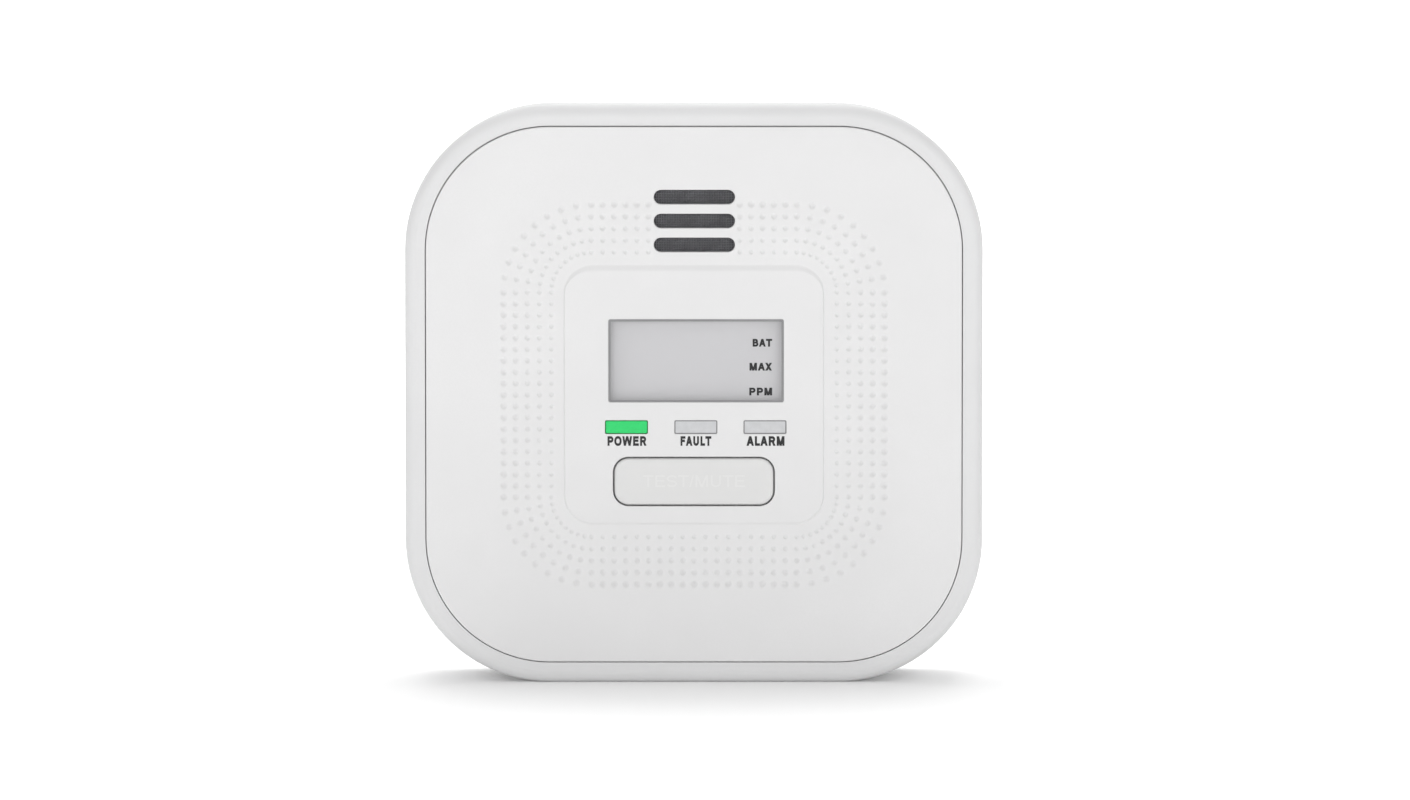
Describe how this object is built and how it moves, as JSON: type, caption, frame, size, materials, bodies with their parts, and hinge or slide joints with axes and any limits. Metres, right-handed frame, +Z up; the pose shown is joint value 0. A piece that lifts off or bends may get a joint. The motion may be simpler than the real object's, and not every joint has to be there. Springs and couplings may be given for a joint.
{
  "type": "carbon monoxide detector",
  "caption": "Square battery carbon monoxide alarm with round corners, display window, lamp windows, test button, vent slots, hinged battery door and slide-off wall plate.",
  "frame": {"origin": "middle of the object's box, on the flat lower edge that it stands on", "axes": "+Z up, the front cover faces -Y, +X to the right seen from the front, wall plate at +Y"},
  "size_m": [0.12, 0.036, 0.12],
  "materials": {
    "cover_white": "fine satin moulded texture",
    "housing_white": "fine satin moulded texture",
    "plate_white": "satin moulded",
    "button_grey": "satin moulded",
    "black_plastic": "matt moulded",
    "natural_plastic": "satin moulded",
    "clear_window": "clear acrylic",
    "lcd_grey": "satin polariser",
    "diffuser": "milky",
    "dark_rubber": "matt foam or rubber",
    "lens_green": "translucent, lit from behind",
    "lens_grey": "translucent, unlit",
    "led_resin": "clear resin on white base",
    "board_green": "solder mask",
    "nickel": "nickel plated",
    "brass_pins": "satin",
    "screen_grey": "fine woven screen",
    "cell_wrap": "printed sleeve, plain bands",
    "wire_red": "insulation",
    "wire_black": "insulation",
    "capacitor_sleeve": "plastic sleeve",
    "ferrite": "ferrite",
    "chip_ceramic": "ceramic",
    "screw_steel": "zinc plated",
    "label_white": "blank paper-like label"
  },
  "bodies": {
    "housing": {"front_cover": "cover_white", "rear_housing": "housing_white", "switch_body": "black_plastic", "lcd_window": "clear_window", "lcd_panel": "lcd_grey", "lcd_holder": "natural_plastic", "backlight_diffuser": "diffuser", "elastomer_strips": "dark_rubber", "light_pipe_power": "lens_green", "light_pipe_fault": "lens_grey", "light_pipe_alarm": "lens_grey", "led_power": "led_resin", "led_fault": "led_resin", "led_alarm": "led_resin", "main_pcb": "board_green", "co_sensor_can": "nickel", "co_sensor_cap": "natural_plastic", "co_sensor_pins": "brass_pins", "vent_mesh": "screen_grey", "buzzer_case": "black_plastic", "piezo_disc": "brass_pins", "buzzer_pins": "brass_pins", "buzzer_gasket": "dark_rubber", "battery_upper": "cell_wrap", "battery_middle": "cell_wrap", "battery_lower": "cell_wrap", "battery_springs": "nickel", "battery_contacts": "nickel", "battery_lead_red": "wire_red", "battery_lead_black": "wire_black", "mcu_chip": "black_plastic", "capacitor": "capacitor_sleeve", "inductor": "ferrite", "chip_parts": "chip_ceramic", "housing_screws": "screw_steel", "pcb_screws": "screw_steel"},
    "door": {"battery_door": "housing_white", "rating_label": "label_white"},
    "wall_plate": {"mounting_plate": "plate_white"},
    "button": {"test_button": "button_grey"},
    "plunger": {"switch_plunger": "natural_plastic"}
  },
  "joints": [
    {"name": "button_press", "type": "slide", "parent": "housing", "child": "button", "axis": [0, 1, 0], "range_m": [0, 0.0005], "stiffness_N_per_m": 2500, "springref_m": -0.0002},
    {"name": "plunger_press", "type": "slide", "parent": "housing", "child": "plunger", "axis": [0, 1, 0], "range_m": [0, 0.0005], "stiffness_N_per_m": 200, "springref_m": -0.0001},
    {"name": "battery_door_hinge", "type": "hinge", "parent": "housing", "child": "door", "pos_m": [0, 0.0133, 0.0068], "axis": [-1, 0, 0], "range_deg": [0, 95]},
    {"name": "wall_plate_slide", "type": "slide", "parent": "housing", "child": "wall_plate", "axis": [0, 0, -1], "range_m": [0, 0.006]}
  ],
  "couplings": [
    {"joint": "plunger_press", "follows": "button_press", "ratio": 1}
  ]
}
